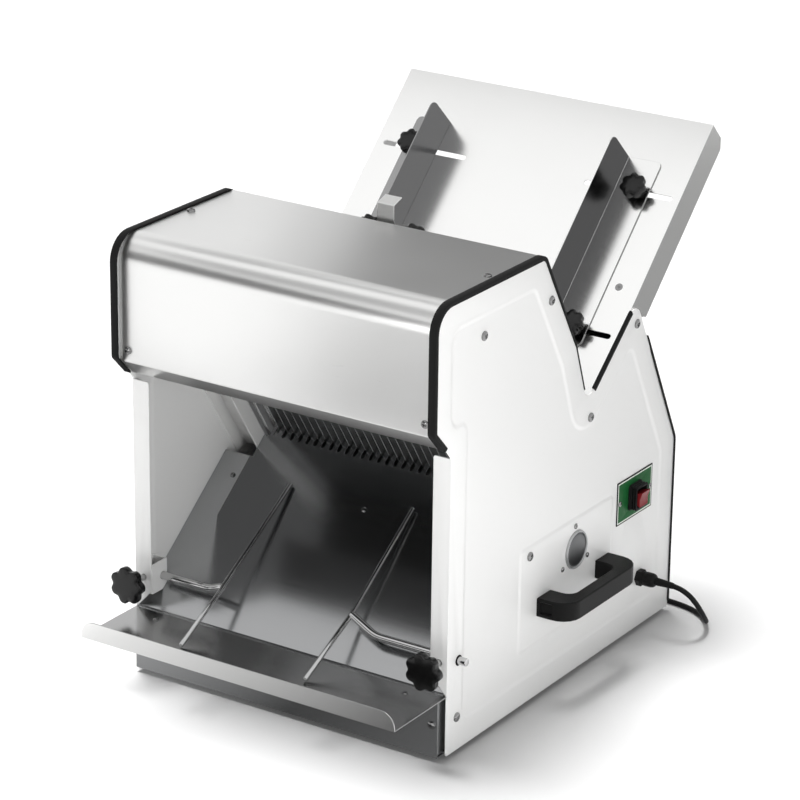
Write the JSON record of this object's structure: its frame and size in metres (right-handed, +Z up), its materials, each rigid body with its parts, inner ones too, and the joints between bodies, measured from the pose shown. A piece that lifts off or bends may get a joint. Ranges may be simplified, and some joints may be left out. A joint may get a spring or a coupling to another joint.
{
  "type": "bread slicer",
  "caption": "Bench-top commercial bread slicer with a sloping infeed chute, opposed toothed blades, an outfeed slide and tray, and a crumb drawer.",
  "frame": {"origin": "centre of the machine in plan, on the surface its rubber feet stand on", "axes": "+X to the side with the switch, +Y from the outfeed tray to the rear, +Z up"},
  "size_m": [0.5947, 0.7748, 0.6474],
  "materials": {
    "white_paint": "smooth white powder coat",
    "satin_stainless": "satin stainless sheet",
    "mirror_stainless": "bright stainless sheet, dark reflections",
    "polished_rod": "polished round bar",
    "blade_steel": "ground spring steel",
    "cast_aluminium": "matt cast and extruded aluminium",
    "zinc_steel": "zinc plated sheet",
    "bright_steel": "ground steel shaft",
    "black_rubber": "matt black rubber",
    "black_plastic": "moulded black nylon",
    "knob_plastic": "glossy black phenolic",
    "green_plate": "green printed plate with a plain border",
    "red_rocker": "translucent red rocker",
    "motor_paint": "grey motor enamel",
    "lead_sheath": "black flexible sheath"
  },
  "bodies": {
    "machine": {"side_panel_left": "white_paint", "rod_bracket_left": "white_paint", "edge_trim_front_left": "black_rubber", "edge_trim_rear_left": "black_rubber", "rubber_foot_front_left": "black_rubber", "rubber_foot_rear_left": "black_rubber", "guide_rail_left": "cast_aluminium", "bearing_left": "satin_stainless", "carry_handle_left": "black_plastic", "drawer_runner_left": "zinc_steel", "side_panel_right": "white_paint", "rod_bracket_right": "white_paint", "edge_trim_front_right": "black_rubber", "edge_trim_rear_right": "black_rubber", "rubber_foot_front_right": "black_rubber", "rubber_foot_rear_right": "black_rubber", "guide_rail_right": "cast_aluminium", "bearing_right": "satin_stainless", "carry_handle_right": "black_plastic", "drawer_runner_right": "zinc_steel", "throat_wall": "white_paint", "rear_cover": "white_paint", "top_cover": "satin_stainless", "front_plinth": "satin_stainless", "infeed_chute": "satin_stainless", "outfeed_slide": "mirror_stainless", "outfeed_tray": "mirror_stainless", "base_pan": "zinc_steel", "motor_shelf": "zinc_steel", "motor": "motor_paint", "drive_belt": "black_rubber", "switch_housing": "black_rubber", "switch_plate": "green_plate", "mains_gland": "black_plastic", "plug": "black_plastic", "cord": "lead_sheath", "cord_coil": "lead_sheath", "cord_tail": "lead_sheath"},
    "front_blades": {"blade_frame_front": "blade_steel", "connecting_rod_front": "cast_aluminium"},
    "rear_blades": {"blade_frame_rear": "blade_steel", "connecting_rod_rear": "cast_aluminium"},
    "crank": {"crankshaft": "bright_steel", "crank_pulley": "cast_aluminium"},
    "small_pulley": {"motor_pulley": "cast_aluminium"},
    "rocker": {"switch_rocker": "red_rocker"},
    "height_plate": {"height_plate": "mirror_stainless"},
    "drawer": {"crumb_drawer": "satin_stainless"},
    "guide_left": {"infeed_guide_left": "mirror_stainless"},
    "guide_knob_upper_left": {"guide_knob_upper_left": "knob_plastic"},
    "guide_knob_lower_left": {"guide_knob_lower_left": "knob_plastic"},
    "outfeed_rod_left": {"outfeed_rod_left": "polished_rod"},
    "clamp_knob_left": {"clamp_knob_left": "knob_plastic"},
    "height_knob_left": {"height_knob_left": "knob_plastic"},
    "guide_right": {"infeed_guide_right": "mirror_stainless"},
    "guide_knob_upper_right": {"guide_knob_upper_right": "knob_plastic"},
    "guide_knob_lower_right": {"guide_knob_lower_right": "knob_plastic"},
    "outfeed_rod_right": {"outfeed_rod_right": "polished_rod"},
    "clamp_knob_right": {"clamp_knob_right": "knob_plastic"},
    "height_knob_right": {"height_knob_right": "knob_plastic"}
  },
  "joints": [
    {"name": "front_blades_stroke", "type": "slide", "parent": "machine", "child": "front_blades", "axis": [0, -0.5505, 0.8348], "range_m": [-0.024, 0]},
    {"name": "rear_blades_stroke", "type": "slide", "parent": "machine", "child": "rear_blades", "axis": [0, -0.5505, 0.8348], "range_m": [0, 0.024]},
    {"name": "crank_turn", "type": "hinge", "parent": "machine", "child": "crank", "pos_m": [0, 0.03331, 0.173], "axis": [1, 0, 0], "continuous": true},
    {"name": "small_pulley_turn", "type": "hinge", "parent": "machine", "child": "small_pulley", "pos_m": [-0.13, 0.16931, 0.184], "axis": [1, 0, 0], "continuous": true},
    {"name": "rocker_tilt", "type": "hinge", "parent": "machine", "child": "rocker", "pos_m": [0.2399, 0.1788, 0.1975], "axis": [0, -1, 0], "range_deg": [0, 18]},
    {"name": "height_plate_lift", "type": "slide", "parent": "machine", "child": "height_plate", "axis": [0, -0.5045, 0.8634], "range_m": [0, 0.044]},
    {"name": "drawer_pull", "type": "slide", "parent": "machine", "child": "drawer", "axis": [0, 1, 0], "range_m": [0, 0.36]},
    {"name": "guide_left_shift", "type": "slide", "parent": "machine", "child": "guide_left", "axis": [-1, 0, 0], "range_m": [-0.038, 0.044]},
    {"name": "guide_knob_upper_left_turn", "type": "hinge", "parent": "guide_left", "child": "guide_knob_upper_left", "pos_m": [-0.16899, 0.26867, 0.56844], "axis": [0, -0.6997, 0.7145], "continuous": true},
    {"name": "guide_knob_lower_left_turn", "type": "hinge", "parent": "guide_left", "child": "guide_knob_lower_left", "pos_m": [-0.16899, 0.12363, 0.42641], "axis": [0, -0.6997, 0.7145], "continuous": true},
    {"name": "outfeed_rod_left_shift", "type": "slide", "parent": "machine", "child": "outfeed_rod_left", "axis": [-1, 0, 0], "range_m": [-0.02, 0.05]},
    {"name": "clamp_knob_left_turn", "type": "hinge", "parent": "machine", "child": "clamp_knob_left", "pos_m": [-0.22, -0.28569, 0.128], "axis": [0, 1, 0], "continuous": true},
    {"name": "height_knob_left_turn", "type": "hinge", "parent": "machine", "child": "height_knob_left", "pos_m": [-0.032, -0.04428, 0.55807], "axis": [0, 0.8634, 0.5045], "continuous": true},
    {"name": "guide_right_shift", "type": "slide", "parent": "machine", "child": "guide_right", "axis": [1, 0, 0], "range_m": [-0.038, 0.044]},
    {"name": "guide_knob_upper_right_turn", "type": "hinge", "parent": "guide_right", "child": "guide_knob_upper_right", "pos_m": [0.16899, 0.26867, 0.56844], "axis": [0, -0.6997, 0.7145], "continuous": true},
    {"name": "guide_knob_lower_right_turn", "type": "hinge", "parent": "guide_right", "child": "guide_knob_lower_right", "pos_m": [0.16899, 0.12363, 0.42641], "axis": [0, -0.6997, 0.7145], "continuous": true},
    {"name": "outfeed_rod_right_shift", "type": "slide", "parent": "machine", "child": "outfeed_rod_right", "axis": [1, 0, 0], "range_m": [-0.02, 0.05]},
    {"name": "clamp_knob_right_turn", "type": "hinge", "parent": "machine", "child": "clamp_knob_right", "pos_m": [0.22, -0.28569, 0.128], "axis": [0, 1, 0], "continuous": true},
    {"name": "height_knob_right_turn", "type": "hinge", "parent": "machine", "child": "height_knob_right", "pos_m": [0.032, -0.04428, 0.55807], "axis": [0, 0.8634, 0.5045], "continuous": true}
  ],
  "couplings": [
    {"joint": "rear_blades_stroke", "follows": "front_blades_stroke", "ratio": -1},
    {"joint": "small_pulley_turn", "follows": "crank_turn", "ratio": 1.6639}
  ]
}
